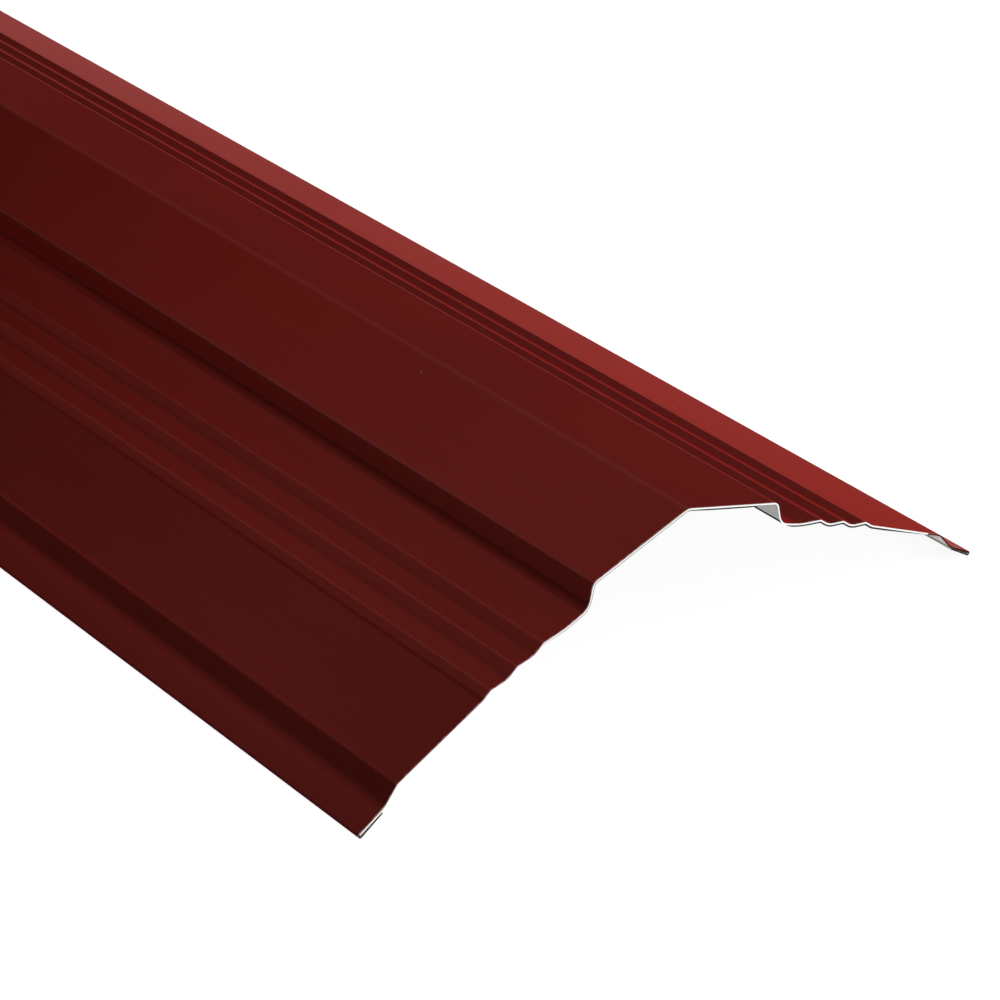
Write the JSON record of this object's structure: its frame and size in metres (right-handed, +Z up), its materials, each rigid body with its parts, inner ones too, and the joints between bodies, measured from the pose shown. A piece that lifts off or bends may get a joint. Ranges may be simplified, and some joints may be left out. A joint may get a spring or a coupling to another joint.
{
  "type": "roof ridge cap",
  "caption": "Roll-formed painted sheet-steel ridge cap: peaked crown, stepped shoulders, ribbed wings and hemmed drip lips, covering the joint where two roof slopes meet.",
  "frame": {"origin": "on the floor under the middle of the cap: the centre of the bounding box's bottom, level with the two hemmed lip edges it stands on", "axes": "+Z up through the ridge line, Y along the length, X across the section"},
  "size_m": [0.2528, 2, 0.0644],
  "materials": {
    "brown_red_coat": "satin"
  },
  "bodies": {
    "root": {"ridge_cap": "brown_red_coat"}
  },
  "joints": []
}
